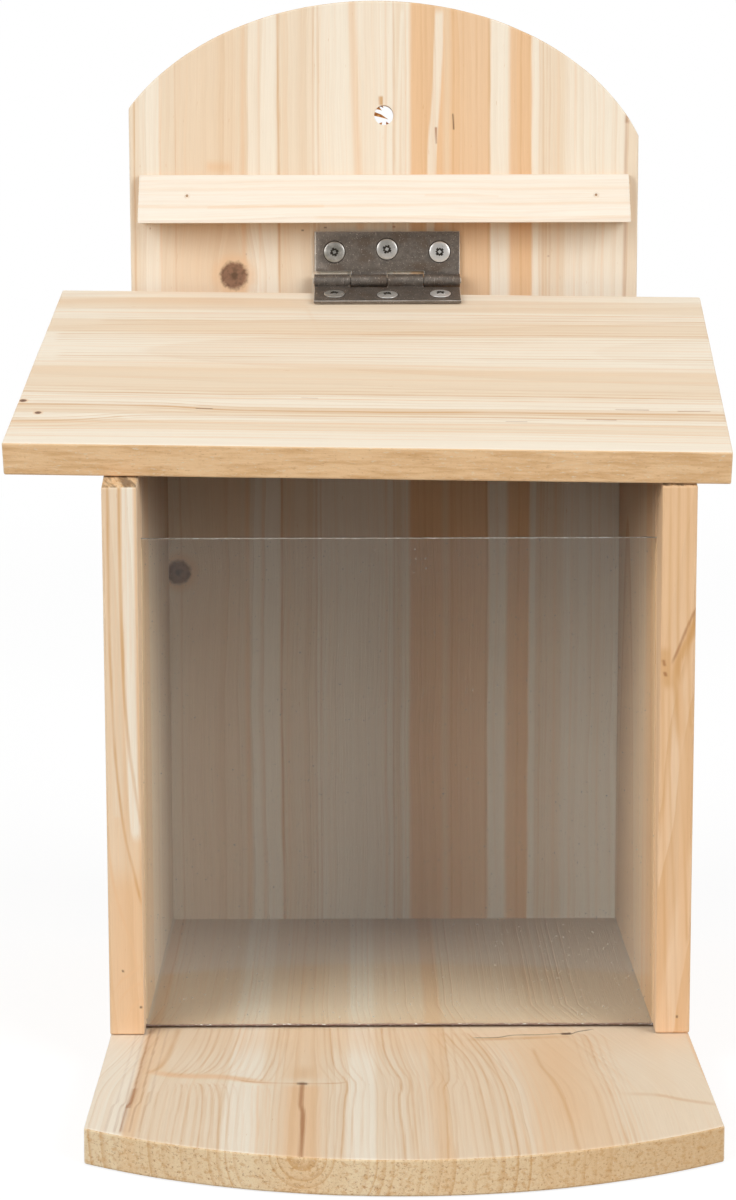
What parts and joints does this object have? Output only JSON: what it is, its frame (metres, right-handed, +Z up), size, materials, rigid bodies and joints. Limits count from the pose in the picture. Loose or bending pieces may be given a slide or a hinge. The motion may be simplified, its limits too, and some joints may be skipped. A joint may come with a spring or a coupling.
{
  "type": "squirrel feeder box",
  "caption": "Pine feeder box with a hinged sloping roof, an arched back board with a hanging hole, a clear front pane and a bowed porch.",
  "frame": {"origin": "on the underside of the floor board, on the box's centre line, midway between the back of the back board and the tip of the porch", "axes": "+Z up, the front faces -Y, +X to the right as seen from the front"},
  "size_m": [0.1693, 0.194, 0.2505],
  "materials": {
    "pine": "planed, unpainted",
    "pale_pine": "planed, unpainted",
    "clear_sheet": "clear, saw-cut edges",
    "aged_steel": "dull, scratched",
    "zinc": "zinc plated",
    "brad_steel": "bright drawn wire"
  },
  "bodies": {
    "box": {"back_board": "pine", "rain_batten": "pale_pine", "batten_brad_left": "brad_steel", "batten_brad_right": "brad_steel", "left_side": "pine", "right_side": "pine", "floor_board": "pine", "hinge_upper_leaf": "aged_steel", "hinge_pin": "aged_steel", "hinge_screw_upper_left": "zinc", "hinge_screw_upper_middle": "zinc", "hinge_screw_upper_right": "zinc", "back_brad_left_lower": "brad_steel", "back_brad_left_upper": "brad_steel", "back_brad_right_lower": "brad_steel", "back_brad_right_upper": "brad_steel", "back_brad_floor_left": "brad_steel", "back_brad_floor_right": "brad_steel", "floor_brad_left_back": "brad_steel", "floor_brad_left_front": "brad_steel", "floor_brad_right_back": "brad_steel", "floor_brad_right_front": "brad_steel"},
    "roof": {"roof_board": "pine", "hinge_lower_leaf": "aged_steel", "hinge_screw_lower_left": "zinc", "hinge_screw_lower_middle": "zinc", "hinge_screw_lower_right": "zinc"},
    "pane": {"front_pane": "clear_sheet"}
  },
  "joints": [
    {"name": "roof_hinge", "type": "hinge", "parent": "box", "child": "roof", "pos_m": [-0.00175, 0.08695, 0.17905], "axis": [-1, 0, 0], "range_deg": [0, 85]},
    {"name": "pane_slide", "type": "slide", "parent": "box", "child": "pane", "axis": [0, 0.0572, 0.9984], "range_m": [0, 0.0165]}
  ]
}
